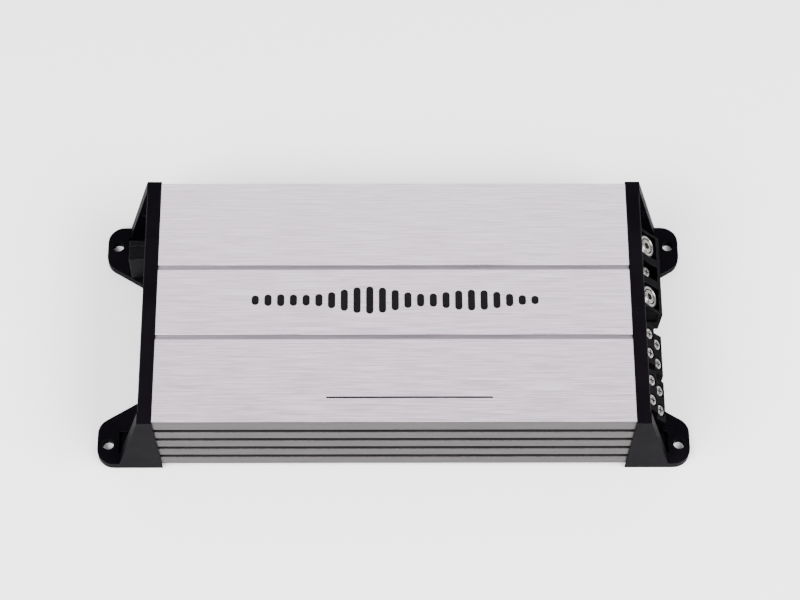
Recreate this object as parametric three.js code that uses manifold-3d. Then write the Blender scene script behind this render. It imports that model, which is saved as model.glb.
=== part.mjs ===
// A compact four-channel car amplifier, in millimetres.
// X runs along the case, -Y is the front, +Z is up; the origin is on the floor under the middle.
import * as THREE from "three";
import { mergeVertices } from "three/addons/utils/BufferGeometryUtils.js";
import Module from "manifold-3d";

const wasm = await Module();
wasm.setup();

// ---- driving dimensions ----

const gap = 0.3; // between pieces that touch
const clearance = 0.4; // round what passes through a cut-out
const overlap = 0.2; // how far joined shapes reach into each other
const arcSteps = 8; // sides of a rounded corner
const roundSides = 32; // of the tab holes
const boreSides = 24; // of the counterbores

// the aluminium extrusion
const caseLength = 220;
const caseDepth = 124.2; // over the rib tips
const caseHeight = 50;
const caseBottom = 3.4; // its lower edge, above the floor
const topWall = 4.5;
const sideWall = 2.7; // behind the side grooves
const sideGrooveDepth = 2.4;
const sideGrooveHeight = 3;
const sideGrooveCount = 4;
const topRib = 8.2; // the first rib, from the top down to the first groove
const bottomRib = 7.2;
const topGrooveWidth = 2.3;
const topGrooveDepth = 1.6;
const backGrooveY = 17.2;
const frontGrooveY = -18.9;
const railReach = 2.3; // rails for the plate and the board, off the side walls
const railThickness = 1;

const plateThickness = 1.2;
const boardThickness = 1.6;
const boardBottom = 13.5;
const boardSetback = 5; // from each end of the case

// the moulded end caps
const capProudTop = 0.3;
const capProudSide = 0.9;
const stripWidth = 6.5; // of the cap's top, past the gap
const stripThickness = 4;
const stripRadius = 1.6;
const wallThickness = 5.5;
const footReach = 18.5; // the cap's side walls at the floor, past the case end
const lipReach = 1.5; // the side walls' lower corners, back over the ribs
const frameThickness = 2;
const floorReach = 10;
const floorThickness = 3;
const screwLand = 4.1; // from an end screw's axis to the frame's window
const gussetDrop = 11; // below the end screws
const gussetThickness = 1.2;
const gussetDepth = 3;

// the mounting tabs
const tabThickness = 4.5;
const tabReach = 29.4; // past the case end
const tabInnerInset = 32.2; // from the cap's outer face to where the slanted edge meets the cap
const tabOuterInset = 20.25; // to where it meets the tab's end
const tabRadius = 8;
const tabHoleRadius = 2.7;
const tabHoleReach = 24.4; // past the case end
const tabHoleInset = 10.3; // from the cap's outer face
const pocketDepth = 2.3;
const pocketReach = 19.3;
const pocketLength = 11.3;

// the panels behind the caps
const panelThickness = 1.2;
const endScrewInset = 8; // below the case top
const bossSize = 7;

// screws
const smallHeadRadius = 2.85;
const smallHeadHeight = 2;
const smallShankRadius = 1.5;
const largeHeadRadius = 3.5;
const largeHeadHeight = 0.8;
const largeShankRadius = 2.5;
const largeSocketRadius = 1.9; // over its corners
const largeSocketDepth = 2.4;
const washerRadius = 5.4;
const washerFloor = 0.5;
const washerHeight = 1.6; // of the cup's rim
const washerRim = 1.5; // how wide the rim is
const endScrewLength = 10;
const smallScrewLength = 5;

// the terminal blocks on the right
const facetTilt = THREE.MathUtils.degToRad(48); // the facets' normal, from the vertical
const neckLength = 10;
const neckInset = 2;
const neckHeight = 11;
const powerBlockStart = 7.3;
const powerBlockEnd = 49;
const powerBlockReach = 18.2;
const powerBlockDraft = 0.9;
const powerShoulder = 19.4;
const powerTop = 31.2;
const groundY = 14.5;
const remoteY = 28.1;
const positiveY = 41.8;
const powerScrewAlong = 8.6; // up the facet from its shoulder
const bayDepth = 2.7;
const bayHalfLength = 6.3;
const bayHalfWidth = 5.9;
const remoteBayHalf = 3.9;
const remoteBayDepth = 4.2;
const powerEntrySize = 9.6;
const powerEntryBottom = 6.4;
const remoteEntrySize = 4.8;
const remoteEntryBottom = 8.6;
const sidePocketDepth = 0.7; // the shallow recess in the front end of the block
const sidePocketX = [7.8, 2.2]; // back from the shoulder
const sidePocketZ = [12, 21];
const entryWall = 3; // behind the wire entries
const largeScrewReach = 8; // drilled below the bays
const smallScrewReach = 5.4; // drilled below the counterbores

const speakerPitch = 10;
const speakerBlockMargin = 5.4; // past the end screws
const frontSpeakerY = -37.8;
const rearSpeakerY = -13.7;
const speakerReach = 17;
const speakerBlockDraft = 0.5;
const lowerShoulder = 18;
const lowerFacetLength = 6.9;
const riserHeight = 6.5;
const upperFacetLength = 7.2;
const counterboreRadius = 3.15;
const counterboreDepth = 2.4;
const speakerEntryWidth = 5.4;
const upperEntryHeight = 4.5;
const lowerEntryHeight = 6.3;
const lowerEntryBottom = 7.6;
const entryDepth = 9;
const entryRoof = 0.4; // from the step between the rows up to the upper entries

// the signal side on the left
const socketY = 40.2;
const socketWidth = 10.3;
const socketBottom = 5.5;
const socketTop = 24;
const socketReach = 16.9;
const socketWall = 1.3;
const socketStep = 1; // its tail is narrower, on each side
const socketDepth = 10.5;
const latchWidth = 4.4;
const latchDepth = 0.6;
const jackY = [6, -9];
const jackZ = [19, 31];
const jackRadius = 4.15;
const jackWall = 0.6;
const jackFlangeRadius = 5.2;
const jackFlangeThickness = 0.8;
const jackLength = 6.4;
const jackPinRadius = 1.6;
const jackHousingDepth = 13;
const knobFirstY = -18.9;
const knobPitch = 8.4;
const knobZ = 24;
const knobRadius = 3.2;
const knobLength = 4.6;
const knobFluteDepth = 0.3;
const knobFlutes = 16;
const shaftRadius = 1.5;
const potWidth = 7.6;
const potDepth = 8;
const switchY = [29, 19];
const switchZ = 24;
const switchTravel = 2; // each way from the middle
const sliderWidth = 2.4;
const sliderHeight = 3.2;
const sliderProud = 2.5;
const switchBodyWidth = 6.4;
const switchBodyDepth = 6.5;
const ledY = 24;
const ledZ = 31;
const ledRadius = 1.5;
const ledProud = 1.2;

// what stands on the board
const transformerRadius = 17;
const transformerHole = 7;
const transformerHeight = 15;
const transformerInset = 52; // its middle, in from the right end of the case
const transformerY = 24;
const capacitorRadius = 6.3;
const capacitorHeight = 20;
const capacitorInset = 24;
const capacitorY = [34, 18, 2];
const inductorSize = 13;
const inductorHeight = 11;
const inductorPlaces = [[26, -20], [26, -38], [46, -20], [46, -38]]; // in from that end, and Y
const transistorWidth = 10;
const transistorThickness = 4.5;
const transistorHeight = 13;
const transistorLegs = 2.5;
const legPitch = 2.54;
const transistorX = [-10, 30];

// ---- sizes that follow ----

const halfCase = caseLength / 2;
const halfDepth = caseDepth / 2;
const capStart = halfCase + gap;
const capFace = halfDepth + capProudSide;
const capTop = caseHeight + capProudTop;
const wallInner = capFace - wallThickness;
const innerWall = halfDepth - sideGrooveDepth - sideWall;
const endScrewY = innerWall - bossSize / 2;
const windowHalfDepth = endScrewY - screwLand;
const tabInner = capFace - tabInnerInset;
const tabOuter = capFace - tabOuterInset;
const sideGroovePitch =
  (caseHeight - caseBottom - topRib - bottomRib - sideGrooveHeight) / (sideGrooveCount - 1);
const innerTop = caseHeight - topWall;
const panelFront = capStart + panelThickness;
const blockBack = panelFront + gap;
const blockBottom = tabThickness + gap;
const frameFront = panelFront + gap + frameThickness;
const stripEdge = capStart + stripWidth;
const footEdge = halfCase + footReach;
const boardTop = boardBottom + boardThickness;
const onBoard = boardTop + gap;
const plateBottom = caseBottom + railThickness + gap;
const endScrewZ = caseHeight - endScrewInset;
const gussetHeight = endScrewZ - gussetDrop;
const facetNormal = new THREE.Vector3(Math.sin(facetTilt), 0, Math.cos(facetTilt));
const facetUp = new THREE.Vector3(-Math.cos(facetTilt), 0, Math.sin(facetTilt));
const shankHole = smallShankRadius + gap;
const largeShankHole = largeShankRadius + gap;
const upperFacetTop = lowerShoulder + riserHeight
  + (lowerFacetLength + upperFacetLength) * Math.sin(facetTilt);
const windowTop = Math.max(upperFacetTop, powerTop, jackZ[1] + jackFlangeRadius) + clearance;

// ---- shapes ----

function box(x, y, z) {
  const size = [x, y, z].map(([low, high]) => high - low);
  const middle = [x, y, z].map(([low, high]) => (high + low) / 2);
  return new THREE.BoxGeometry(...size).translate(...middle);
}

// A closed outline from corners [a, b] or [a, b, radius].
function outline(corners) {
  const points = [];
  corners.forEach(([a, b, radius = 0], i) => {
    const here = new THREE.Vector2(a, b);
    if (radius === 0) {
      points.push(here);
      return;
    }
    const [before, after] = [corners.at(i - 1), corners[(i + 1) % corners.length]].map(
      ([x, y]) => new THREE.Vector2(x, y).sub(here).normalize(),
    );
    const half = Math.acos(before.dot(after)) / 2;
    const start = here.clone().addScaledVector(before, radius / Math.tan(half));
    const bisector = before.clone().add(after).normalize();
    const centre = here.clone().addScaledVector(bisector, radius / Math.sin(half));
    const sweep = (Math.PI - 2 * half) * (before.cross(after) > 0 ? -1 : 1);
    for (let step = 0; step <= arcSteps; step += 1) {
      points.push(start.clone().rotateAround(centre, (sweep * step) / arcSteps));
    }
  });
  return new THREE.Shape(points);
}

const extrude = (shape, depth) =>
  new THREE.ExtrudeGeometry(shape, { depth, bevelEnabled: false });

// Outlines in YZ, XZ and XY, extruded from one X, Y or Z to another.
function alongX(corners, [from, to]) {
  const turn = new THREE.Matrix4().set(0, 0, 1, from, 1, 0, 0, 0, 0, 1, 0, 0, 0, 0, 0, 1);
  return extrude(outline(corners), to - from).applyMatrix4(turn);
}

function alongY(corners, [from, to]) {
  const turn = new THREE.Matrix4().set(1, 0, 0, 0, 0, 0, -1, to, 0, 1, 0, 0, 0, 0, 0, 1);
  return extrude(outline(corners), to - from).applyMatrix4(turn);
}

const alongZ = (corners, [from, to]) => extrude(outline(corners), to - from).translate(0, 0, from);

// A cylinder between two heights on a Z axis at the origin.
function rod(radius, [from, to], sides = 16) {
  const length = to - from;
  return new THREE.CylinderGeometry(radius, radius, length, sides)
    .rotateX(Math.PI / 2)
    .translate(0, 0, from + length / 2);
}

function turned(profile, sides = 16) {
  const points = profile.map(([r, z]) => new THREE.Vector2(r, z));
  return new THREE.LatheGeometry(points, sides).rotateX(Math.PI / 2);
}

const onXAxis = (geometry, side, x, y, z) =>
  geometry.rotateY((side * Math.PI) / 2).translate(side * x, y, z);

const onFacet = (geometry, point) =>
  geometry.rotateY(facetTilt).translate(point.x, point.y, point.z);

// ---- booleans ----

function solid(geometry) {
  const bare = geometry.clone();
  bare.deleteAttribute("normal");
  bare.deleteAttribute("uv");
  const merged = mergeVertices(bare);
  return new wasm.Manifold(
    new wasm.Mesh({
      numProp: 3,
      vertProperties: merged.attributes.position.array,
      triVerts: new Uint32Array(merged.index.array),
    }),
  );
}

const join = (...shapes) => shapes.map(solid).reduce((all, next) => all.add(next));
const cut = (from, ...tools) => tools.map(solid).reduce((left, tool) => left.subtract(tool), from);

function geometryOf(manifold) {
  const mesh = manifold.getMesh();
  const geometry = new THREE.BufferGeometry();
  geometry.setAttribute("position", new THREE.BufferAttribute(mesh.vertProperties, 3));
  geometry.setIndex(new THREE.BufferAttribute(mesh.triVerts, 1));
  geometry.computeVertexNormals();
  return geometry;
}

// ---- materials ----

const finish = (color, roughness, metalness) =>
  new THREE.MeshStandardMaterial({ color, roughness, metalness, flatShading: true });
const brushedAluminium = () => finish(0xc4bfc6, 0.38, 1);
const blackPlastic = () => finish(0x17171a, 0.45, 0);
const blackSteel = () => finish(0x1c1c1f, 0.5, 0.6);
const platedSteel = () => finish(0xc9c6c0, 0.25, 1);
const nickel = () => finish(0xd0ccc2, 0.2, 1);
const greenBoard = () => finish(0x1d4a2c, 0.5, 0);
const copper = () => finish(0xb4693a, 0.35, 1);
const ferrite = () => finish(0x2b2b2d, 0.7, 0.1);
const sleeve = () => finish(0x1f2b4a, 0.4, 0);
const epoxy = () => finish(0x202022, 0.55, 0);
const lens = () => finish(0x3a8fd8, 0.15, 0);

const amplifier = new THREE.Group();

function add(name, shape, material, place = {}) {
  const geometry = shape.isBufferGeometry ? shape : geometryOf(shape);
  const mesh = new THREE.Mesh(geometry, material);
  mesh.name = name;
  if (place.position) mesh.position.copy(place.position);
  if (place.turn) mesh.rotation.y = place.turn;
  amplifier.add(mesh);
}

// ---- the case ----

function sideOutline(side) {
  const points = [];
  for (let i = 0; i < sideGrooveCount; i += 1) {
    const high = caseHeight - topRib - i * sideGroovePitch;
    const low = high - sideGrooveHeight;
    const floor = halfDepth - sideGrooveDepth;
    points.push([side * halfDepth, high], [side * floor, high]);
    points.push([side * floor, low], [side * halfDepth, low]);
  }
  return points;
}

function heatsinkShell() {
  const topGroove = (y) => [
    [y - topGrooveWidth / 2, caseHeight],
    [y - topGrooveWidth / 2, caseHeight - topGrooveDepth],
    [y + topGrooveWidth / 2, caseHeight - topGrooveDepth],
    [y + topGrooveWidth / 2, caseHeight],
  ];
  const section = [
    [-halfDepth, caseBottom],
    ...sideOutline(-1).reverse(),
    [-halfDepth, caseHeight],
    ...topGroove(frontGrooveY),
    ...topGroove(backGrooveY),
    [halfDepth, caseHeight],
    ...sideOutline(1),
    [halfDepth, caseBottom],
    [innerWall, caseBottom],
    [innerWall, innerTop],
    [-innerWall, innerTop],
    [-innerWall, caseBottom],
  ];
  const ends = [-halfCase, halfCase];
  const railHeights = [
    caseBottom,
    plateBottom + plateThickness + gap,
    boardBottom - gap - railThickness,
    boardTop + gap,
  ];
  const shapes = [alongX(section, ends)];
  const holes = [];
  for (const side of [-1, 1]) {
    const span = (near, far) => [near, far].map((y) => side * y).sort((a, b) => a - b);
    for (const height of railHeights) {
      const rail = span(innerWall - railReach, innerWall + overlap);
      shapes.push(box(ends, rail, [height, height + railThickness]));
    }
    const boss = span(endScrewY - bossSize / 2, innerWall + overlap);
    shapes.push(box(ends, boss, [endScrewZ - bossSize / 2, innerTop + overlap]));
    holes.push(
      onXAxis(rod(shankHole, [-caseLength, caseLength], 12), 1, 0, side * endScrewY, endScrewZ),
    );
  }
  return cut(join(...shapes), ...holes);
}

function bottomPlate() {
  const half = innerWall - gap;
  const length = [-halfCase + gap, halfCase - gap];
  return box(length, [-half, half], [plateBottom, plateBottom + plateThickness]);
}

function circuitBoard() {
  const half = innerWall - gap;
  const length = [-halfCase + boardSetback, halfCase - boardSetback];
  return box(length, [-half, half], [boardBottom, boardTop]);
}

// ---- the end caps: side is 1 on the right, -1 on the left ----

function endCap(side) {
  const flip = (corners) => corners.map(([x, z, radius = 0]) => [side * x, z, radius]);
  const range = (near, far) => (side > 0 ? [near, far] : [-far, -near]);
  const across = [-capFace, capFace];
  const inside = [-wallInner - overlap, wallInner + overlap];
  const wall = flip([
    [capStart, 0],
    [footEdge, 0],
    [footEdge, tabThickness],
    [stripEdge, capTop],
    [capStart, capTop],
  ]);
  const lip = flip([
    [capStart + overlap, 0],
    [halfCase - lipReach, 0],
    [halfCase, capTop],
    [capStart + overlap, capTop],
  ]);
  const strip = flip([
    [capStart, capTop],
    [capStart, capTop - stripThickness],
    [stripEdge, capTop - stripThickness],
    [stripEdge, capTop, stripRadius],
  ]);
  const slope = (footEdge - stripEdge) / (capTop - tabThickness);
  const gussetEnd = stripEdge + slope * (capTop - gussetHeight - gussetThickness) - 1;
  const shapes = [
    alongY(strip, across),
    box(range(blockBack, frameFront), inside, [0, capTop - stripThickness + overlap]),
    box(range(capStart, halfCase + floorReach), inside, [0, floorThickness]),
  ];
  const window = [-windowHalfDepth, windowHalfDepth];
  const tools = [box(range(panelFront, frameFront + 1), window, [floorThickness, windowTop])];
  for (const face of [-1, 1]) {
    const span = (near, far) => [near, far].map((y) => face * y).sort((a, b) => a - b);
    const tab = [
      [capStart, capFace],
      [halfCase + tabReach, capFace, tabRadius],
      [halfCase + tabReach, tabOuter, tabRadius],
      [halfCase + floorReach, tabInner],
      [capStart, tabInner],
    ].map(([x, y, radius = 0]) => [side * x, face * y, radius]);
    const hole = { x: side * (halfCase + tabHoleReach), y: face * (capFace - tabHoleInset) };
    const gusset = span(wallInner - gussetDepth, wallInner + overlap);
    const gussetHeights = [gussetHeight, gussetHeight + gussetThickness];
    const pocket = span(wallInner - pocketLength, wallInner);
    const pocketHeights = [tabThickness - pocketDepth, tabThickness + 1];
    const panelSeat = span(tabInner - 1, wallInner);
    shapes.push(
      alongY(wall, span(wallInner, capFace)),
      alongY(lip, span(halfDepth + gap, capFace)),
      alongZ(tab, [0, tabThickness]),
      box(range(frameFront - overlap, gussetEnd), gusset, gussetHeights),
    );
    tools.push(
      rod(tabHoleRadius, [-1, tabThickness + 1], roundSides).translate(hole.x, hole.y, 0),
      box(range(halfCase + floorReach, halfCase + pocketReach), pocket, pocketHeights),
      onXAxis(rod(shankHole, [-5, 5], 12), side, frameFront, face * endScrewY, endScrewZ),
      box(range(capStart - 1, panelFront + gap), panelSeat, [floorThickness, tabThickness + 1]),
    );
  }
  return cut(join(...shapes), ...tools);
}

// ---- screws ----

const shank = (radius, length) => [
  [0, -length],
  [radius * 0.8, -length],
  [radius, -length + radius * 0.3],
  [radius, 0],
];

// A pan head above z = 0 with a cross recess, its shank below.
function smallScrew(length) {
  const [radius, height] = [smallHeadRadius, smallHeadHeight];
  const head = [
    [radius, 0],
    [radius, height * 0.45],
    [radius * 0.9, height * 0.8],
    [radius * 0.6, height],
    [0, height],
  ];
  const arm = radius * 0.6;
  const slot = radius * 0.14;
  const depth = [height * 0.45, height + 1];
  return cut(
    solid(turned([...shank(smallShankRadius, length), ...head], 12)),
    box([-arm, arm], [-slot, slot], depth),
    box([-slot, slot], [-arm, arm], depth),
  );
}

// A low head with a hexagon socket, which sits in the clamp washer's cup.
function largeScrew(length) {
  const head = [
    [largeHeadRadius, 0],
    [largeHeadRadius, largeHeadHeight * 0.7],
    [largeHeadRadius - largeHeadHeight * 0.3, largeHeadHeight],
    [0, largeHeadHeight],
  ];
  const depth = [largeHeadHeight - largeSocketDepth, largeHeadHeight + 1];
  return cut(
    solid(turned([...shank(largeShankRadius, length), ...head], 20)),
    rod(largeSocketRadius, depth, 6),
  );
}

// ---- the power terminal block ----

const shoulder = new THREE.Vector3(halfCase + powerBlockReach, 0, powerShoulder);

function powerPoint(y, raise = 0) {
  const point = shoulder.clone().addScaledVector(facetUp, powerScrewAlong);
  return point.addScaledVector(facetNormal, raise).setY(y);
}

// The part of a block that passes the panel and stands on the board.
const neck = (y0, y1) =>
  box([halfCase - neckLength, blockBack + overlap], [y0, y1], [onBoard, onBoard + neckHeight]);

function powerBlock() {
  const topRun = (powerTop - powerShoulder) / Math.tan(facetTilt);
  const profile = [
    [blockBack, blockBottom],
    [shoulder.x - powerBlockDraft, blockBottom],
    [shoulder.x, powerShoulder],
    [shoulder.x - topRun, powerTop],
    [blockBack, powerTop],
  ];
  const bay = (halfWidth, depth) =>
    box([-bayHalfLength, bayHalfLength], [-halfWidth, halfWidth], [-depth, 4]);
  const drilled = (radius) => rod(radius, [-bayDepth - largeScrewReach, 0], 16);
  const entryX = [blockBack + entryWall, shoulder.x + 1];
  const entry = (y, size, bottom) =>
    box(entryX, [y - size / 2, y + size / 2], [bottom, bottom + size]);
  return cut(
    join(
      alongY(profile, [powerBlockStart, powerBlockEnd]),
      neck(powerBlockStart + neckInset, powerBlockEnd - neckInset),
    ),
    onFacet(bay(bayHalfWidth, bayDepth), powerPoint(groundY)),
    onFacet(bay(bayHalfWidth, bayDepth), powerPoint(positiveY)),
    onFacet(bay(remoteBayHalf, remoteBayDepth), powerPoint(remoteY)),
    onFacet(drilled(largeShankHole), powerPoint(groundY)),
    onFacet(drilled(largeShankHole), powerPoint(positiveY)),
    onFacet(drilled(shankHole), powerPoint(remoteY)),
    entry(groundY, powerEntrySize, powerEntryBottom),
    entry(positiveY, powerEntrySize, powerEntryBottom),
    entry(remoteY, remoteEntrySize, remoteEntryBottom),
    box(
      sidePocketX.map((back) => shoulder.x - back),
      [powerBlockStart - 1, powerBlockStart + sidePocketDepth],
      sidePocketZ,
    ),
  );
}

// A cup washer: the screw's head sits inside its rim.
function clampWasher() {
  const round = 0.3;
  const inner = washerRadius - washerRim;
  const ring = [
    [largeShankHole, 0],
    [washerRadius, 0],
    [washerRadius, washerHeight - round],
    [washerRadius - round, washerHeight],
    [inner + round, washerHeight],
    [inner, washerHeight - round],
    [inner, washerFloor],
    [largeShankHole, washerFloor],
    [largeShankHole, 0],
  ];
  return turned(ring, 20);
}

// ---- the speaker terminal blocks: two rows of two screws each ----

const lowerStart = new THREE.Vector3(halfCase + speakerReach, 0, lowerShoulder);
const upperStart = lowerStart.clone().addScaledVector(facetUp, lowerFacetLength);
upperStart.z += riserHeight;

const facetPoint = (start, length, y) =>
  start.clone().addScaledVector(facetUp, length / 2).setY(y);
const lowerPoint = (y) => facetPoint(lowerStart, lowerFacetLength, y);
const upperPoint = (y) => facetPoint(upperStart, upperFacetLength, y);

function speakerBlock(middle) {
  const lowerEnd = lowerStart.clone().addScaledVector(facetUp, lowerFacetLength);
  const upperEnd = upperStart.clone().addScaledVector(facetUp, upperFacetLength);
  const profile = [
    [blockBack, blockBottom],
    [lowerStart.x - speakerBlockDraft, blockBottom],
    [lowerStart.x, lowerStart.z],
    [lowerEnd.x, lowerEnd.z],
    [upperStart.x, upperStart.z],
    [upperEnd.x, upperEnd.z],
    [blockBack, upperEnd.z],
  ];
  const halfLength = speakerPitch / 2 + speakerBlockMargin;
  const tools = [];
  for (const y of [middle - speakerPitch / 2, middle + speakerPitch / 2]) {
    const wide = [y - speakerEntryWidth / 2, y + speakerEntryWidth / 2];
    const upperBottom = upperStart.z - riserHeight + entryRoof;
    for (const point of [lowerPoint(y), upperPoint(y)]) {
      tools.push(
        onFacet(rod(counterboreRadius, [-counterboreDepth, 3], boreSides), point),
        onFacet(rod(shankHole, [-counterboreDepth - smallScrewReach, 0], 12), point),
      );
    }
    const entry = (x, bottom, height) => box([x - entryDepth, x + 1], wide, [bottom, bottom + height]);
    tools.push(
      entry(lowerStart.x, lowerEntryBottom, lowerEntryHeight),
      entry(upperStart.x, upperBottom, upperEntryHeight),
    );
  }
  return cut(
    join(
      alongY(profile, [middle - halfLength, middle + halfLength]),
      neck(middle - halfLength + neckInset, middle + halfLength - neckInset),
    ),
    ...tools,
  );
}

// ---- the panels ----

const panel = (side) =>
  box(
    side > 0 ? [capStart, panelFront] : [-panelFront, -capStart],
    [-wallInner + gap, wallInner - gap],
    [floorThickness + gap, capTop - stripThickness - gap],
  );

const panelScrewHoles = (side) =>
  [-endScrewY, endScrewY].map((y) =>
    onXAxis(rod(shankHole, [-3, 3], 12), side, capStart, y, endScrewZ),
  );

function rightPanel() {
  const through = [capStart - 1, panelFront + 1];
  const slot = (y0, y1) =>
    box(
      through,
      [y0 + neckInset - clearance, y1 - neckInset + clearance],
      [onBoard - clearance, onBoard + neckHeight + clearance],
    );
  const half = speakerPitch / 2 + speakerBlockMargin;
  return cut(
    solid(panel(1)),
    slot(powerBlockStart, powerBlockEnd),
    slot(frontSpeakerY - half, frontSpeakerY + half),
    slot(rearSpeakerY - half, rearSpeakerY + half),
    ...panelScrewHoles(1),
  );
}

const knobY = (i) => knobFirstY - i * knobPitch;

function leftPanel() {
  const hole = (radius, y, z) => onXAxis(rod(radius, [-3, 3]), -1, capStart, y, z);
  const through = [-panelFront - 1, -capStart + 1];
  const slot = (y, z, halfWidth, halfHeight) =>
    box(through, [y - halfWidth, y + halfWidth], [z - halfHeight, z + halfHeight]);
  const socketMiddle = (socketTop + onBoard) / 2;
  const socketHalf = (socketTop - onBoard) / 2 + clearance;
  const sliderHalf = sliderHeight / 2 + switchTravel + gap;
  return cut(
    solid(panel(-1)),
    slot(socketY, socketMiddle, socketWidth / 2 - socketStep + clearance, socketHalf),
    ...jackY.flatMap((y) => jackZ.map((z) => hole(jackRadius - jackWall, y, z))),
    ...[0, 1, 2, 3].map((i) => hole(shaftRadius + clearance, knobY(i), knobZ)),
    ...switchY.map((y) => slot(y, switchZ, sliderWidth / 2 + gap, sliderHalf)),
    hole(ledRadius + gap, ledY, ledZ),
    ...panelScrewHoles(-1),
  );
}

// ---- the signal side ----

function highLevelSocket() {
  const y = [socketY - socketWidth / 2, socketY + socketWidth / 2];
  const mouth = -halfCase - socketReach;
  const inset = ([low, high], by) => [low + by, high - by];
  const deep = [mouth - 1, mouth + socketDepth];
  const latch = [socketY - latchWidth / 2, socketY + latchWidth / 2];
  return cut(
    join(
      box([mouth, -blockBack], y, [socketBottom, socketTop]),
      box([-blockBack - overlap, -halfCase + neckLength], inset(y, socketStep), [onBoard, socketTop]),
    ),
    box(deep, inset(y, socketWall), inset([socketBottom, socketTop], socketWall)),
    box(deep, latch, [socketTop - latchDepth, socketTop + 1]),
  );
}

const coreRadius = jackRadius - jackWall - gap;

function jackHousing() {
  const low = Math.min(...jackY) - jackFlangeRadius;
  const high = Math.max(...jackY) + jackFlangeRadius;
  const back = halfCase - jackHousingDepth;
  const coreEnd = jackLength + panelThickness + gap;
  const core = (y, z) => onXAxis(rod(coreRadius, [-1, coreEnd]), -1, capStart, y, z);
  const bore = (y, z) => onXAxis(rod(jackPinRadius, [1, 20], 12), -1, capStart, y, z);
  const places = jackY.flatMap((y) => jackZ.map((z) => [y, z]));
  return cut(
    join(
      box([-halfCase, -back], [low, high], [onBoard, Math.max(...jackZ) + jackFlangeRadius]),
      ...places.map((place) => core(...place)),
    ),
    ...places.map((place) => bore(...place)),
  );
}

function jackShell() {
  const inner = jackRadius - jackWall;
  return turned([
    [inner, 0],
    [jackFlangeRadius, 0],
    [jackFlangeRadius, jackFlangeThickness],
    [jackRadius, jackFlangeThickness],
    [jackRadius, jackLength],
    [inner, jackLength],
    [inner, 0],
  ]);
}

const shaftDepth = gap + panelThickness + gap + 3;

function knob() {
  const rim = [];
  for (let i = 0; i < knobFlutes; i += 1) {
    for (const [share, radius] of [[0, knobRadius], [0.5, knobRadius - knobFluteDepth]]) {
      const angle = ((i + share) / knobFlutes) * 2 * Math.PI;
      rim.push([radius * Math.cos(angle), radius * Math.sin(angle)]);
    }
  }
  return cut(
    join(alongZ(rim, [0, knobLength]), rod(shaftRadius, [-shaftDepth, overlap], 16)),
    box([0.6, knobRadius + 1], [-0.35, 0.35], [knobLength - 0.6, knobLength + 1]),
  );
}

function potentiometer() {
  const half = potWidth / 2;
  return cut(
    solid(box([-half, half], [-half, half], [-potDepth, 0])),
    rod(shaftRadius + clearance, [-4, 1], 16),
    box([half - 1.2, half + 1], [-half - 1, half + 1], [-1, 1]),
  );
}

function switchBody() {
  const half = switchBodyWidth / 2;
  const tall = sliderHeight / 2 + switchTravel;
  const travel = [-tall - gap, tall + gap];
  return cut(
    solid(box([-tall - 1.6, tall + 1.6], [-half, half], [-switchBodyDepth, 0])),
    box(travel, [-sliderWidth / 2 - gap, sliderWidth / 2 + gap], [-switchBodyDepth + 1.5, 1]),
  );
}

function slider() {
  const tall = sliderHeight / 2;
  const wide = sliderWidth / 2;
  const root = switchBodyDepth - 2;
  const nose = gap + panelThickness + sliderProud;
  return cut(
    solid(box([-tall, tall], [-wide, wide], [-root, nose])),
    box([-tall / 3, tall / 3], [-wide - 1, wide + 1], [nose - 0.5, nose + 1]),
  );
}

function led() {
  return turned([
    [0, -3],
    [ledRadius, -3],
    [ledRadius, ledProud + panelThickness - ledRadius * 0.6],
    [ledRadius * 0.8, ledProud + panelThickness - ledRadius * 0.2],
    [0, ledProud + panelThickness],
  ]);
}

// ---- what stands on the board ----

function transformer() {
  const round = 3;
  const ring = [
    [transformerHole, round],
    [transformerHole + round, 0],
    [transformerRadius - round, 0],
    [transformerRadius, round],
    [transformerRadius, transformerHeight - round],
    [transformerRadius - round, transformerHeight],
    [transformerHole + round, transformerHeight],
    [transformerHole, transformerHeight - round],
    [transformerHole, round],
  ];
  return turned(ring, 20);
}

function capacitor() {
  const crimp = 0.5;
  return turned([
    [0, 0],
    [capacitorRadius, 0],
    [capacitorRadius, 1.6],
    [capacitorRadius - crimp, 2.2],
    [capacitorRadius, 2.8],
    [capacitorRadius, capacitorHeight],
    [0, capacitorHeight],
  ]);
}

function inductor() {
  const half = inductorSize / 2;
  const round = 2;
  const square = [[-half, -half], [half, -half], [half, half], [-half, half]];
  return alongZ(square.map((corner) => [...corner, round]), [0, inductorHeight]);
}

function transistor(face) {
  const wide = transistorWidth / 2;
  const middle = transistorThickness / 2;
  const shapes = [
    box([-wide, wide], [-middle, middle], [transistorLegs, transistorLegs + transistorHeight]),
  ];
  for (const x of [-legPitch, 0, legPitch]) {
    const y = -face * (middle - 1);
    shapes.push(box([x - 0.4, x + 0.4], [y - 0.3, y + 0.3], [0, transistorLegs + overlap]));
  }
  return join(...shapes);
}

// ---- assembly ----

const at = (x, y, z) => ({ position: new THREE.Vector3(x, y, z) });
const facing = (side, x, y, z) => ({ ...at(side * x, y, z), turn: (side * Math.PI) / 2 });
const tilted = (point) => ({ position: point, turn: facetTilt });

add("heatsink_shell", heatsinkShell(), brushedAluminium());
add("bottom_plate", bottomPlate(), blackSteel());
add("circuit_board", circuitBoard(), greenBoard());

for (const [name, side] of [["right", 1], ["left", -1]]) {
  add(`${name}_end_cap`, endCap(side), blackPlastic());
  for (const [place, y] of [["front", -endScrewY], ["rear", endScrewY]]) {
    const seat = facing(side, frameFront + gap, y, endScrewZ);
    add(`${name}_cap_screw_${place}`, smallScrew(endScrewLength), blackSteel(), seat);
  }
}
add("terminal_panel", rightPanel(), blackSteel());
add("control_panel", leftPanel(), blackSteel());

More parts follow.
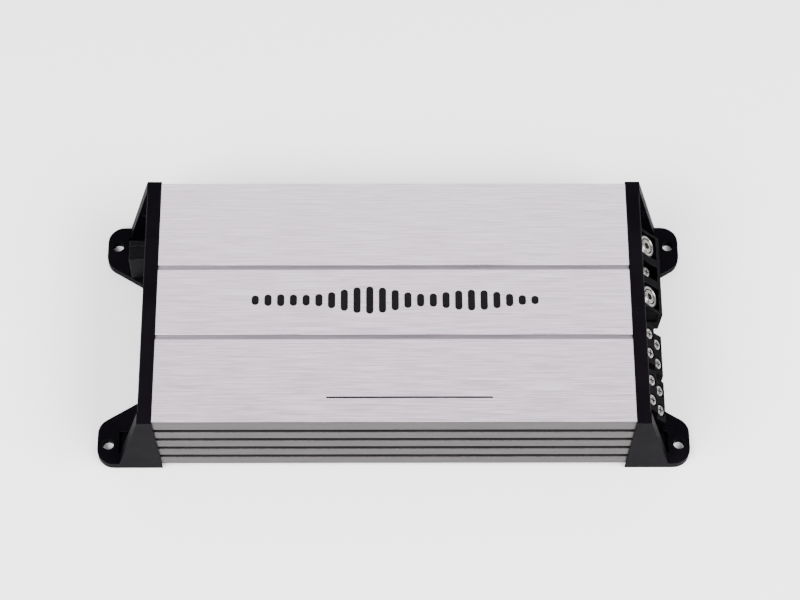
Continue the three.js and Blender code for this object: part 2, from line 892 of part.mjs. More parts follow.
add("power_terminal_block", powerBlock(), blackPlastic());
const onBay = gap - bayDepth;
const onWasher = onBay + washerFloor + gap;
const largeScrewLength = washerFloor + 6;
for (const [name, y] of [["ground", groundY], ["positive", positiveY]]) {
  const screw = largeScrew(largeScrewLength);
  add(`${name}_clamp_washer`, clampWasher(), platedSteel(), tilted(powerPoint(y, onBay)));
  add(`${name}_terminal_screw`, screw, platedSteel(), tilted(powerPoint(y, onWasher)));
}
const remoteSeat = tilted(powerPoint(remoteY, gap - remoteBayDepth));
add("remote_terminal_screw", smallScrew(smallScrewLength), platedSteel(), remoteSeat);

for (const [name, middle] of [["front", frontSpeakerY], ["rear", rearSpeakerY]]) {
  add(`${name}_speaker_block`, speakerBlock(middle), blackPlastic());
  for (const [channel, side] of [["left", -1], ["right", 1]]) {
    const y = middle + (side * speakerPitch) / 2;
    for (const [sign, point] of [["negative", lowerPoint(y)], ["positive", upperPoint(y)]]) {
      const seat = point.addScaledVector(facetNormal, gap - counterboreDepth);
      const screw = smallScrew(smallScrewLength);
      add(`${name}_${channel}_${sign}_screw`, screw, platedSteel(), tilted(seat));
    }
  }
}

add("high_level_socket", highLevelSocket(), blackPlastic());
add("input_jack_housing", jackHousing(), blackPlastic());
for (const [channel, y] of [["left", jackY[0]], ["right", jackY[1]]]) {
  for (const [pair, z] of [["rear", jackZ[0]], ["front", jackZ[1]]]) {
    add(`${pair}_${channel}_input_jack`, jackShell(), nickel(), facing(-1, blockBack, y, z));
  }
}

["front_level", "rear_level", "high_pass", "low_pass"].forEach((name, i) => {
  const y = knobY(i);
  add(`${name}_knob`, knob(), blackPlastic(), facing(-1, blockBack, y, knobZ));
  add(`${name}_potentiometer`, potentiometer(), epoxy(), facing(-1, halfCase, y, knobZ));
});

for (const [name, y] of [["front", switchY[1]], ["rear", switchY[0]]]) {
  const seat = facing(-1, halfCase, y, switchZ);
  add(`${name}_filter_switch`, switchBody(), epoxy(), seat);
  add(`${name}_filter_slider`, slider(), blackPlastic(), facing(-1, halfCase + gap, y, switchZ));
}
add("power_indicator", led(), lens(), facing(-1, capStart, ledY, ledZ));

const onRails = boardTop + railThickness + 2 * gap;
const transformerSeat = at(halfCase - transformerInset, transformerY, onBoard);
add("supply_transformer", transformer(), ferrite(), transformerSeat);
capacitorY.forEach((y, i) => {
  const seat = at(halfCase - capacitorInset, y, onBoard);
  add(`supply_capacitor_${i + 1}`, capacitor(), sleeve(), seat);
});
inductorPlaces.forEach(([inset, y], i) => {
  add(`output_inductor_${i + 1}`, inductor(), ferrite(), at(halfCase - inset, y, onBoard));
});
for (const [name, face] of [["audio", -1], ["supply", 1]]) {
  const y = face * (innerWall - gap - transistorThickness / 2);
  transistorX.forEach((x, i) => {
    add(`${name}_transistor_${i + 1}`, transistor(face), epoxy(), at(x, y, onRails));
  });
}

export default amplifier;
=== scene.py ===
import math
import random

import bmesh
import bpy
from mathutils import Matrix, Vector


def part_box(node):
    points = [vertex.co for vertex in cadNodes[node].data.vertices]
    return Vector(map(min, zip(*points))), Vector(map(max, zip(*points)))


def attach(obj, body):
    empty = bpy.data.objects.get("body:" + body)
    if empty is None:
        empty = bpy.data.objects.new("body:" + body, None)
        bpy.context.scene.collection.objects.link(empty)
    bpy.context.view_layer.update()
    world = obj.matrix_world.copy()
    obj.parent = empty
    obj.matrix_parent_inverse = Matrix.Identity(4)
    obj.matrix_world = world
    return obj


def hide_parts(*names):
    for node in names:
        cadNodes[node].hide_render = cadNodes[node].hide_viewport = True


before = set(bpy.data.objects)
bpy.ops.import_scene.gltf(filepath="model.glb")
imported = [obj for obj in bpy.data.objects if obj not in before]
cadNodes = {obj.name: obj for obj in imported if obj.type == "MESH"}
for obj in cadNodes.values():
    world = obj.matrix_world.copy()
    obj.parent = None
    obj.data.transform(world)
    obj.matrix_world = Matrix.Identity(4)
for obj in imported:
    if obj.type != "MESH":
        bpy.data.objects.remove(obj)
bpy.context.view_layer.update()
housing = "amplifier_body"
mm = 0.001
print("frame loaded,", len(cadNodes), "nodes")


# the camera looks down on the top, a little from the left
camera = {
    "lens": 112.9,
    "elevation": 63.0,
    "yaw": -0.931,
    "roll": 0.779,
    "distance": 1.1921,
    "target": (0.00304, 0.01279, 0.025),
}


def placeCamera():
    elevation, yaw, roll = (math.radians(camera[key]) for key in ("elevation", "yaw", "roll"))
    flat = math.cos(elevation)
    back = Vector((math.sin(yaw) * flat, -math.cos(yaw) * flat, math.sin(elevation)))
    level = (-back).cross(Vector((0, 0, 1))).normalized()
    upright = level.cross(-back)
    right = level * math.cos(roll) + upright * math.sin(roll)
    up = upright * math.cos(roll) - level * math.sin(roll)
    data = bpy.data.cameras.new("camera")
    data.lens = camera["lens"]
    data.sensor_width = 36
    data.clip_start = 0.01
    seat = bpy.data.objects.new("camera", data)
    place = Matrix((right, up, back)).transposed().to_4x4()
    place.translation = Vector(camera["target"]) + back * camera["distance"]
    seat.matrix_world = place
    bpy.context.scene.collection.objects.link(seat)
    bpy.context.scene.camera = seat


placeCamera()
print("camera placed")


# shader making

class Wire:  # an output socket that can be reckoned with
    def __init__(self, finish, socket):
        self.finish = finish
        self.socket = socket

    def maths(self, operation, first, second=0.0):
        return self.finish.node("ShaderNodeMath", {"operation": operation}, {0: first, 1: second})

    def __add__(self, other):
        return self.maths("ADD", self, other)

    def __radd__(self, other):
        return self.maths("ADD", other, self)

    def __sub__(self, other):
        return self.maths("SUBTRACT", self, other)

    def __rsub__(self, other):
        return self.maths("SUBTRACT", other, self)

    def __mul__(self, other):
        return self.maths("MULTIPLY", self, other)

    def sine(self):
        return self.maths("SINE", self)


class Finish:  # a material in the making
    def __init__(self, name):
        self.material = bpy.data.materials.new(name)
        self.material.use_nodes = True
        self.tree = self.material.node_tree
        self.tree.nodes.clear()
        self.place = self.node("ShaderNodeTexCoord", output="Object")

    def node(self, kind, settings=None, inputs=None, output=0):
        made = self.tree.nodes.new(kind)
        for key, value in (settings or {}).items():
            setattr(made, key, value)
        for key, value in (inputs or {}).items():
            if isinstance(value, Wire):
                self.tree.links.new(value.socket, made.inputs[key])
            elif isinstance(value, tuple) and len(value) == 3 and len(made.inputs[key].default_value) == 4:
                made.inputs[key].default_value = (*value, 1)
            else:
                made.inputs[key].default_value = value
        return Wire(self, made.outputs[output])

    def noise(self, scale, detail=2.0, roughness=0.5):
        stretch = scale if isinstance(scale, tuple) else (scale, scale, scale)
        where = self.node("ShaderNodeMapping", {}, {"Vector": self.place, "Scale": stretch})
        inputs = {"Vector": where, "Scale": 1.0, "Detail": detail, "Roughness": roughness}
        return self.node("ShaderNodeTexNoise", {}, inputs)

    def cells(self, scale, feature="F1", spread=1.0):
        inputs = {"Vector": self.place, "Scale": scale, "Randomness": spread}
        return self.node("ShaderNodeTexVoronoi", {"feature": feature}, inputs)

    def attribute(self, name):
        return self.node("ShaderNodeAttribute", {"attribute_name": name}, output="Fac")

    def band(self, value, low, high):
        inputs = {"Value": value, "From Min": low, "From Max": high}
        return self.node("ShaderNodeMapRange", {"interpolation_type": "SMOOTHSTEP"}, inputs)

    def blend(self, mask, first, second):
        return self.node("ShaderNodeMix", {"data_type": "RGBA"}, {0: mask, 6: first, 7: second}, 2)

    def bump(self, height, depth):
        return self.node("ShaderNodeBump", {}, {"Height": height, "Strength": 1.0, "Distance": depth})

    def surface(self, **sockets):
        inputs = {key.replace("_", " "): value for key, value in sockets.items()}
        shader = self.node("ShaderNodeBsdfPrincipled", {}, inputs)
        last = self.tree.nodes.new("ShaderNodeOutputMaterial")
        self.tree.links.new(shader.socket, last.inputs["Surface"])
        return self.material


def edgeWearAndHighlightMask(finish, scale, low=0.4, high=0.62):
    return finish.attribute("wear") * finish.band(finish.noise(scale, 3.0, 0.65), low, high)


aluminium = {
    "top": (0.95, 0.825, 0.94),
    # painted shade: the ribbed sides get a far darker copy of the top's metal
    "side": (0.062, 0.0575, 0.0565),
    # painted shadow on the ledges under the ribs' overhang
    "lip": (0.05, 0.046, 0.047),
    # painted shade in the grooves
    "recess": (0.34, 0.31, 0.34),
    "edge": (0.5, 0.47, 0.49),
    "streaks": 0.26,
}


def brushedAluminium():
    f = Finish("brushedAluminium")
    long = f.noise((36.0, 1500.0, 1500.0), 3.0, 0.6)
    short = f.noise((110.0, 2600.0, 2600.0), 2.0, 0.7)
    cloud = f.noise((9.0, 26.0, 26.0), 2.0)
    streak = f.band(long * 0.7 + short * 0.3, 0.36, 0.64)
    dark = tuple(part * (1 - aluminium["streaks"]) for part in aluminium["top"])
    brushed = f.blend(streak, dark, aluminium["top"])
    brushed = f.blend(cloud * 0.1, brushed, (0.7, 0.68, 0.7))
    drawn = f.noise((7.0, 700.0, 700.0), 3.0, 0.65)
    # the ribbed sides are painted with shade, a far darker copy of the metal, and the drawn lines lie over
    # it
    deeperSideShade = tuple(0.86 * part for part in aluminium["side"])
    shadedRibs = f.blend(f.band(drawn, 0.3, 0.7), deeperSideShade, aluminium["side"])
    tone = f.blend(f.attribute("side"), brushed, shadedRibs)
    # painted shade in the top grooves and on the side grooves' floors
    tone = f.blend(f.attribute("recess"), tone, aluminium["recess"])
    # painted shadow on the up-facing ledges under the ribs
    tone = f.blend(f.attribute("lip") * 0.8, tone, aluminium["lip"])
    edgeWearAndHighlight = edgeWearAndHighlightMask(f, 900.0, 0.35, 0.65)
    tone = f.blend(edgeWearAndHighlight * 0.1, tone, aluminium["edge"])
    roughness = 0.36 + (streak - 0.5) * 0.1 + f.attribute("side") * 0.1 - edgeWearAndHighlight * 0.08
    height = long * 0.5 + short * 0.5
    return f.surface(
        Base_Color=tone, Metallic=1.0, Roughness=roughness, Normal=f.bump(height, 0.00003),
    )


def mouldedPlastic(name, dark, light, edgeWearAndHighlight, roughness, grain, depth, gloss=0.16):
    f = Finish(name)
    cloud = f.noise(38.0, 3.0)
    grains = f.noise(grain, 2.0, 0.6)
    pits = f.cells(grain * 0.8)
    rubbed = f.band(f.noise((170.0, 60.0, 240.0), 4.0, 0.7), 0.5, 0.75)
    edges = edgeWearAndHighlightMask(f, 420.0)
    dust = f.band(f.noise(2600.0, 2.0, 0.7), 0.66, 0.8)
    tone = f.blend(f.band(cloud, 0.3, 0.7), dark, light)
    # the rounded edges take the third colour: wear on most plastics, a painted highlight on the black cap
    # and terminal plastics
    tone = f.blend(edges * 0.6, tone, edgeWearAndHighlight)
    tone = f.blend(dust * 0.05, tone, (0.4, 0.38, 0.36))
    rough = roughness + (grains - 0.5) * 0.14 - rubbed * 0.07 - edges * 0.08
    return f.surface(
        Base_Color=tone, Roughness=rough, Normal=f.bump(grains * 0.6 + pits * 0.4, depth),
        Specular_IOR_Level=gloss,
    )


def platedMetal(name, bright, dull, roughness, marks):
    f = Finish(name)
    ring = f.attribute("ring")  # millimetres from the axis the piece was turned on
    lathe = (ring * marks + f.noise(500.0, 2.0) * 3.0).sine() * 0.5 + 0.5
    # broad light and dark rings are a painted reflection; the fine lathe marks, smears and stains are the
    # metal's own
    paintedReflectionRings = (ring * 5.2 + f.noise(150.0, 2.0) * 1.6).sine() * 0.5 + 0.5
    smear = f.noise(260.0, 3.0, 0.6)
    stain = f.band(f.noise(900.0, 4.0, 0.7), 0.55, 0.75)
    # the tone swings between the bright and dull colours mostly with the painted reflection rings
    tone = f.blend(paintedReflectionRings * 0.55 + lathe * 0.15 + smear * 0.3, bright, dull)
    tone = f.blend(stain * 0.25, tone, tuple(part * 0.55 for part in dull))
    rough = roughness + lathe * 0.07 + (smear - 0.5) * 0.12 + stain * 0.1
    return f.surface(
        Base_Color=tone, Metallic=1.0, Roughness=rough, Normal=f.bump(lathe, 0.000012),
    )


def powderCoat(name, tone, light, roughness):
    f = Finish(name)
    peel = f.noise(1500.0, 2.0, 0.5)
    cloud = f.noise(40.0, 3.0)
    edges = edgeWearAndHighlightMask(f, 500.0, 0.5, 0.7)
    speck = f.band(f.cells(900.0), 0.0, 0.12)
    colour = f.blend(f.band(cloud, 0.3, 0.7), tone, light)
    colour = f.blend(edges * 0.7, colour, (0.3, 0.3, 0.3))
    rough = roughness + (peel - 0.5) * 0.16 + (1 - speck) * 0.05
    return f.surface(
        Base_Color=colour, Metallic=edges * 0.6, Roughness=rough, Normal=f.bump(peel, 0.00004),
        Specular_IOR_Level=0.14,
    )


def solderMask():
    f = Finish("solderMask")
    tracks = f.cells(210.0, "DISTANCE_TO_EDGE", 0.35)
    line = 1 - f.band(tracks, 0.04, 0.1)
    pads = 1 - f.band(f.cells(330.0, spread=0.6), 0.1, 0.16)
    weave = f.noise((1900.0, 1900.0, 300.0), 2.0)
    tone = f.blend(line * 0.75, (0.012, 0.12, 0.045), (0.03, 0.22, 0.08))
    tone = f.blend(f.band(weave, 0.4, 0.7) * 0.2, tone, (0.02, 0.09, 0.04))
    tone = f.blend(pads, tone, (0.72, 0.71, 0.68))
    return f.surface(
        Base_Color=tone, Metallic=pads, Roughness=0.34 + weave * 0.12 - pads * 0.08,
        Normal=f.bump(line * 0.6 + pads, 0.00004), Coat_Weight=0.2,
    )


def copperWinding():
    f = Finish("copperWinding")
    slow = f.noise(180.0, 3.0)
    fine = f.noise(1400.0, 2.0)
    tone = f.blend(slow, (0.72, 0.27, 0.1), (0.5, 0.17, 0.06))
    return f.surface(
        Base_Color=tone, Metallic=1.0, Roughness=0.24 + fine * 0.16, Normal=f.bump(fine, 0.00002),
        Coat_Weight=0.6,
    )


def shrinkSleeve():
    f = Finish("shrinkSleeve")
    slow = f.noise(120.0, 3.0)
    fine = f.noise((1200.0, 1200.0, 200.0), 2.0)
    stripe = f.attribute("stripe")
    tone = f.blend(slow, (0.012, 0.02, 0.075), (0.02, 0.03, 0.11))
    tone = f.blend(stripe, tone, (0.55, 0.57, 0.6))
    return f.surface(
        Base_Color=tone, Roughness=0.26 + fine * 0.14, Normal=f.bump(fine, 0.00002), Coat_Weight=0.3,
    )


def indicatorLens():
    f = Finish("indicatorLens")
    slow = f.noise(700.0, 2.0)
    glow = f.blend(slow, (0.05, 0.28, 0.9), (0.12, 0.4, 1.0))
    return f.surface(
        Base_Color=glow, Roughness=0.1 + slow * 0.08, Emission_Color=glow, Emission_Strength=0.35,
        Normal=f.bump(slow, 0.00001), Coat_Weight=0.8,
    )


def printedInk(name, tone, light):
    f = Finish(name)
    mottle = f.noise(900.0, 3.0, 0.6)
    screen = f.noise((300.0, 2400.0, 900.0), 2.0)
    colour = f.blend(f.band(mottle, 0.35, 0.7), tone, light)
    return f.surface(
        Base_Color=colour, Roughness=0.5 + screen * 0.2, Normal=f.bump(screen, 0.000008),
        Specular_IOR_Level=0.08,
    )


finishes = {
    "aluminium": brushedAluminium(),
    # the cap plastic's edge colour is a painted highlight on its rounded edges
    "capPlastic": mouldedPlastic(
        "capPlastic", (0.0014, 0.0011, 0.0018), (0.0026, 0.002, 0.0031), (0.05, 0.047, 0.055),
        0.5, 1900.0, 0.00005, gloss=0.012,
    ),
    # the terminal plastic's edge colour is a painted highlight on its rounded edges
    "terminalPlastic": mouldedPlastic(
        "terminalPlastic", (0.0012, 0.0011, 0.0016), (0.0022, 0.002, 0.0027), (0.042, 0.042, 0.047),
        0.5, 2300.0, 0.00004, gloss=0.012,
    ),
    "socketPlastic": mouldedPlastic(
        "socketPlastic", (0.0024, 0.0023, 0.0028), (0.0042, 0.004, 0.0048), (0.02, 0.02, 0.022),
        0.5, 2500.0, 0.00003, gloss=0.03,
    ),
    "knobPlastic": mouldedPlastic(
        "knobPlastic", (0.014, 0.014, 0.016), (0.024, 0.024, 0.027), (0.1, 0.1, 0.1), 0.36, 2800.0, 0.00002,
    ),
    "epoxy": mouldedPlastic(
        "epoxy", (0.016, 0.016, 0.017), (0.028, 0.028, 0.029), (0.07, 0.07, 0.07), 0.55, 3000.0, 0.00003,
    ),
    "whitePlastic": mouldedPlastic(
        "whitePlastic", (0.66, 0.65, 0.62), (0.74, 0.73, 0.7), (0.85, 0.85, 0.83), 0.38, 2400.0, 0.00002,
    ),
    "redPlastic": mouldedPlastic(
        "redPlastic", (0.42, 0.02, 0.018), (0.52, 0.03, 0.024), (0.62, 0.1, 0.09), 0.38, 2400.0, 0.00002,
    ),
    "ferrite": mouldedPlastic(
        "ferrite", (0.03, 0.029, 0.028), (0.055, 0.052, 0.05), (0.11, 0.1, 0.1), 0.62, 1500.0, 0.00006,
    ),
    # the plated metals' dull colours are mostly the dark side of their painted reflection rings
    "plated": platedMetal("platedSteel", (0.36, 0.345, 0.33), (0.02, 0.019, 0.018), 0.2, 38.0),
    "nickel": platedMetal("nickelPlate", (0.4, 0.385, 0.37), (0.16, 0.15, 0.14), 0.2, 30.0),
    "gold": platedMetal("goldFlash", (0.9, 0.68, 0.3), (0.75, 0.52, 0.2), 0.2, 20.0),
    "blackOxide": platedMetal("blackOxide", (0.05, 0.05, 0.053), (0.025, 0.025, 0.027), 0.34, 38.0),
    "can": platedMetal("canAluminium", (0.8, 0.8, 0.81), (0.64, 0.64, 0.66), 0.3, 26.0),
    "steel": powderCoat("powderCoat", (0.007, 0.007, 0.0076), (0.012, 0.012, 0.013), 0.5),
    "board": solderMask(),
    "copper": copperWinding(),
    "sleeve": shrinkSleeve(),
    "lens": indicatorLens(),
    "darkInk": printedInk("darkInk", (0.0016, 0.0014, 0.0016), (0.003, 0.0027, 0.003)),
    "whiteInk": printedInk("whiteInk", (0.6, 0.6, 0.6), (0.7, 0.7, 0.7)),
}
print("finishes made,", len(finishes))


# mesh making

def blank():
    bm = bmesh.new()
    layers(bm)
    return bm


def layers(bm):
    for name in ("ring", "stripe"):
        if name not in bm.verts.layers.float:
            bm.verts.layers.float.new(name)
    if "wear" not in bm.loops.layers.float:
        bm.loops.layers.float.new("wear")


def solidOf(node):  # a node's own solid, its flat faces whole again
    bm = bmesh.new()
    bm.from_mesh(cadNodes[node].data)
    bmesh.ops.remove_doubles(bm, verts=bm.verts, dist=2e-6)
    bmesh.ops.dissolve_limit(
        bm, angle_limit=math.radians(0.6), use_dissolve_boundaries=False,
        verts=bm.verts, edges=bm.edges, delimit=set(),
    )
    for face in bm.faces:
        face.material_index = 0
    layers(bm)
    return bm


def rounded(bm, width, segments=2, least=33, edges=None):
    # rounds the outward edges sharper than least, and marks the new faces for edge wear, and on the black
    # cap and terminal plastics for a painted edge highlight
    wear = bm.loops.layers.float["wear"]
    chosen = [
        edge for edge in (edges if edges is not None else bm.edges)
        if edge.is_manifold and edge.calc_face_angle_signed(0) > math.radians(least)
    ]
    made = bmesh.ops.bevel(
        bm, geom=chosen, offset=width * mm, offset_type="OFFSET", affect="EDGES",
        segments=segments, profile=0.5, material=-1, clamp_overlap=True, loop_slide=True,
    )
    for face in made["faces"]:
        for loop in face.loops:
            loop[wear] = 1.0


def fresh(bm, before):
    return [vert for vert in bm.verts if vert not in before]


def settle(bm, before, place):  # closes what was just made, and puts it in its place
    bmesh.ops.remove_doubles(bm, verts=fresh(bm, before), dist=2e-7)
    made = fresh(bm, before)
    faces = list({face for vert in made for face in vert.link_faces})
    bmesh.ops.recalc_face_normals(bm, faces=faces)
    ring = bm.verts.layers.float["ring"]
    for vert in made:
        vert[ring] = math.hypot(vert.co.x, vert.co.y) / mm
    bmesh.ops.transform(bm, matrix=place, verts=made)
    return faces


def turnedRound(bm, corners, steps, closed=False):
    pairs = list(zip(corners, corners[1:])) + ([(corners[-1], corners[0])] if closed else [])
    edges = [bm.edges.new(pair) for pair in pairs]
    bmesh.ops.spin(
        bm, geom=corners + edges, cent=(0, 0, 0), axis=(0, 0, 1), dvec=(0, 0, 0),
        angle=2 * math.pi, steps=steps, use_merge=True, use_normal_flip=False, use_duplicate=False,
    )


def spun(bm, profile, place, steps=48, closed=False, material=0, soft=0.0):
    # (radius, height) pairs in millimetres, turned about the place's own Z
    before = set(bm.verts)
    corners = [bm.verts.new((radius * mm, 0, height * mm)) for radius, height in profile]
    turnedRound(bm, corners, steps, closed)
    faces = settle(bm, before, place)
    for face in faces:
        face.material_index = material
    if soft:
        rounded(bm, soft, 2, 30, edges=list({edge for face in faces for edge in face.edges}))


def slab(bm, low, high, radius=0.0, axis=2, soft=0.0, material=0, place=None):
    # a block between two corners in millimetres, its edges along one axis rounded
    low, high = Vector(low) * mm, Vector(high) * mm
    stretch = Matrix.Diagonal((*(high - low), 1))
    middle = Matrix.Translation((low + high) / 2)
    made = bmesh.ops.create_cube(bm, size=1.0, matrix=(place or Matrix()) @ middle @ stretch)["verts"]
    before = set(bm.verts) - set(made)
    along = ((place or Matrix()).to_3x3() @ Vector([i == axis for i in range(3)])).normalized()
    edges = list({edge for vert in made for edge in vert.link_edges})
    if radius:
        upright = [e for e in edges if abs((e.verts[0].co - e.verts[1].co).normalized().dot(along)) > 0.9]
        bmesh.ops.bevel(
            bm, geom=upright, offset=radius * mm, affect="EDGES", segments=5, profile=0.5, material=-1,
        )
    faces = list({face for vert in fresh(bm, before) for face in vert.link_faces})
    for face in faces:
        face.material_index = material
    if soft:
        rounded(bm, soft, 2, 50, edges=list({edge for face in faces for edge in face.edges}))


def placeOf(node, degrees):
    # the axis of a turned node and the top of it, for a piece whose own Z is that axis
    turn = Matrix.Rotation(math.radians(degrees), 4, "Y")
    back = turn.inverted()
    points = [back @ vert.co for vert in cadNodes[node].data.vertices]
    low = Vector([min(point[i] for point in points) for i in range(3)])
    high = Vector([max(point[i] for point in points) for i in range(3)])
    return turn @ Matrix.Translation(((low.x + high.x) / 2, (low.y + high.y) / 2, high.z))


def pieceName(stem):  # front_level becomes FrontLevel
    return stem.title().replace("_", "")


def piece(name, bm, materials, body=housing, stands=(), sharp=38):
    for edge in bm.edges:
        edge.smooth = edge.is_manifold and edge.calc_face_angle(0) < math.radians(sharp)
    for face in bm.faces:
        face.smooth = True
    mesh = bpy.data.meshes.new(name)
    bm.to_mesh(mesh)
    bm.free()
    for key in materials:
        mesh.materials.append(finishes[key])
    made = bpy.data.objects.new(name, mesh)
    bpy.context.scene.collection.objects.link(made)
    even = made.modifiers.new("evenShading", "WEIGHTED_NORMAL")
    even.keep_sharp = True
    even.weight = 80
    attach(made, body)
    if stands:
        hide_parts(*stands)
    return made


def fromNode(node, name, material, width, segments=2, body=housing):
    bm = solidOf(node)
    rounded(bm, width, segments)
    return piece(name, bm, [material], body, [node])


# the case

case = {
    "edge": 0.3,
    "split": 1.0,  # radians; the faces beside a sharper edge are marked one by one
    "wall": 4.0,  # what lies this near to a side belongs to its ribs, which get the painted side shade
    "topRib": 2.0,
    "topGroove": (0.6, 3.0),  # how far under the top the painted shade in a groove runs
    "sideGroove": 1.5,  # a wall deeper in than this is a groove's floor, which gets the painted groove shade
    "plateEdge": 0.2,
}


def caseShell():
    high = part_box("heatsink_shell")[1]
    bm = solidOf("heatsink_shell")
    long = [e for e in bm.edges if abs((e.verts[0].co - e.verts[1].co).normalized().x) > 0.99]
    rounded(bm, case["edge"], 3, 30, edges=long)
    side = bm.verts.layers.float.new("side")
    recess = bm.verts.layers.float.new("recess")
    lip = bm.verts.layers.float.new("lip")
    bmesh.ops.split_edges(bm, edges=[e for e in bm.edges if e.calc_face_angle(0) > case["split"]])
    wall, inside = high.y - case["wall"] * mm, high.y - case["sideGroove"] * mm
    shallow, deepest = (high.z - depth * mm for depth in case["topGroove"])
    for face in bm.faces:
        middle = face.calc_center_median()
        outward = abs(middle.y) > wall
        ledge = outward and middle.z < high.z - case["topRib"] * mm
        ribs = ledge or (outward and abs(face.normal.z) < 0.9)
        groove = deepest < middle.z < shallow and abs(middle.y) < wall
        floor = ledge and abs(middle.y) < inside and abs(face.normal.y) > 0.9
        for vert in face.verts:
            # rib faces are marked for the painted side shade
            vert[side] = max(vert[side], float(ribs))
            # groove faces and side-groove floors are marked for the painted groove shade
            vert[recess] = max(vert[recess], float(groove or floor))
            # up-facing ledge faces are marked for the painted ledge shadow
            vert[lip] = max(vert[lip], float(ledge and face.normal.z > 0.9))
    return piece("caseShell", bm, ["aluminium"], stands=["heatsink_shell"])


caseShell()
fromNode("bottom_plate", "bottomPlate", "steel", case["plateEdge"])
print("case made")


# a plain ruled motif printed on the top
motif = {
    "left": -66.0,
    "pitch": 5.9,
    "count": 23,
    "width": 3.4,
    "least": 4.2,
    "swing": 10.4,
    "middle": 0.0,
    "corner": 1.6,
    "rule": (-31.0, 45.0, -49.6, 0.8),  # from X, to X, Y, width
    "ruleCorner": 0.2,
    "sunk": 0.02,
    "thickness": 0.05,
}


def printedMotif():
    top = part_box("heatsink_shell")[1].z / mm
    foot, face = top - motif["sunk"], top + motif["thickness"]
    middle = motif["middle"]
    bm = blank()
    for i in range(motif["count"]):
        share = (i + 0.5) / motif["count"]
        wave = math.sin(math.pi * share) * (0.62 + 0.38 * math.cos(5 * math.pi * share))
        half = (motif["least"] + motif["swing"] * abs(wave)) / 2
        x = motif["left"] + i * motif["pitch"]
        low, high = (x, middle - half, foot), (x + motif["width"], middle + half, face)
        slab(bm, low, high, radius=motif["corner"])
    start, end, y, width = motif["rule"]
    slab(bm, (start, y - width / 2, foot), (end, y + width / 2, face), radius=motif["ruleCorner"])
    return piece("printedMotif", bm, ["darkInk"])


printedMotif()
print("motif made")


# the end caps

cap = {
    "edge": 0.55,
    "holeX": 134.4,
    "holeY": 52.7,
    "tabTop": 4.5,
    "ringOuter": 4.35,
    "ringInner": 3.55,
    "ringSlope": 0.3,
    "ringHeight": 0.1,
    "ringSunk": 0.05,
    "screwLength": 10,
}


def endCap(side):
    node = f"{side}_end_cap"
    bm = solidOf(node)
    rounded(bm, cap["edge"], 3)
    x = cap["holeX"] if side == "right" else -cap["holeX"]
    ring = [
        (cap["ringInner"], -cap["ringSunk"]),
        (cap["ringInner"] + cap["ringSlope"], cap["ringHeight"]),
        (cap["ringOuter"] - cap["ringSlope"], cap["ringHeight"]),
        (cap["ringOuter"], -cap["ringSunk"]),
    ]
    for y in (-cap["holeY"], cap["holeY"]):  # a low moulded ring round each hole
        spun(bm, ring, Matrix.Translation(Vector((x, y, cap["tabTop"])) * mm), closed=True)
    return piece(f"{side}EndCap", bm, ["capPlastic"], stands=[node])


for side in ("right", "left"):
    endCap(side)
print("end caps made")


# screws

def crossRecess(arm, slot):  # half of its width, and half of a slot's
    return [
        (arm, slot), (slot, slot), (slot, arm), (-slot, arm), (-slot, slot), (-arm, slot),
        (-arm, -slot), (-slot, -slot), (-slot, -arm), (slot, -arm), (slot, -slot), (arm, -slot),
    ]


def hexagonRecess(radius):
    return [(radius * math.cos(math.pi * i / 3), radius * math.sin(math.pi * i / 3)) for i in range(6)]


smallScrew = {
    "head": 2.85,
    "height": 2.0,
    "top": 1.9,
    "shank": 1.5,
    "pitch": 0.5,
    "recess": crossRecess(1.65, 0.38),
    "depth": 1.1,
    "taper": 0.72,  # of the recess, from its mouth to its floor
}
largeScrew = {
    "head": 3.5,
    "height": 0.8,
    "top": 3.05,
    "shank": 2.5,
    "pitch": 0.8,
    "recess": hexagonRecess(1.9),
    "depth": 2.2,
    "taper": 0.96,
}


def drivenScrew(bm, s, place, length):
    before = set(bm.verts)
    head, height, shank = s["head"], s["height"], s["shank"]
    profile = [
        (s["top"], 0), (head * 0.92, -height * 0.12), (head * 0.98, -height * 0.36),
        (head, -height * 0.55), (head, -height), (shank, -height),
    ]
    for i in range(int((length - 0.6) / s["pitch"])):  # the thread's turns
        z = -height - 0.2 - i * s["pitch"]
        profile += [(shank, z), (shank * 0.84, z - s["pitch"] * 0.5)]
    profile += [(shank * 0.7, -height - length), (0, -height - length)]
    turnedRound(bm, [bm.verts.new((radius * mm, 0, height * mm)) for radius, height in profile], 40)
    bmesh.ops.remove_doubles(bm, verts=fresh(bm, before), dist=2e-7)
    rim = [e for e in bm.edges if e.verts[0] not in before and e.is_boundary]
    points = [bm.verts.new((x * mm, y * mm, 0)) for x, y in s["recess"]]
    mouth = [bm.edges.new(pair) for pair in zip(points, points[1:] + points[:1])]
    bmesh.ops.triangle_fill(bm, use_beauty=True, use_dissolve=False, edges=rim + mouth)
    made = bmesh.ops.extrude_edge_only(bm, edges=mouth)["geom"]
    floor = [item for item in made if isinstance(item, bmesh.types.BMVert)]
    for vert in floor:
        vert.co.x *= s["taper"]
        vert.co.y *= s["taper"]
        vert.co.z -= s["depth"] * mm
    bmesh.ops.edgeloop_fill(bm, edges=[e for e in made if isinstance(e, bmesh.types.BMEdge)])
    return settle(bm, before, place)


def screwPiece(node, name, s, degrees, length, material, body):
    bm = blank()
    faces = drivenScrew(bm, s, placeOf(node, degrees), length)
    rounded(bm, 0.1, 2, 40, edges=list({edge for face in faces for edge in face.edges}))
    return piece(name, bm, [material], body, [node], sharp=45)


for side, degrees in (("right", 90), ("left", -90)):
    for end in ("front", "rear"):
        screwPiece(
            f"{side}_cap_screw_{end}", f"{side}{end.title()}CapScrew", smallScrew, degrees,
            cap["screwLength"], "blackOxide", housing,
        )
print("cap screws made")


# the power terminals

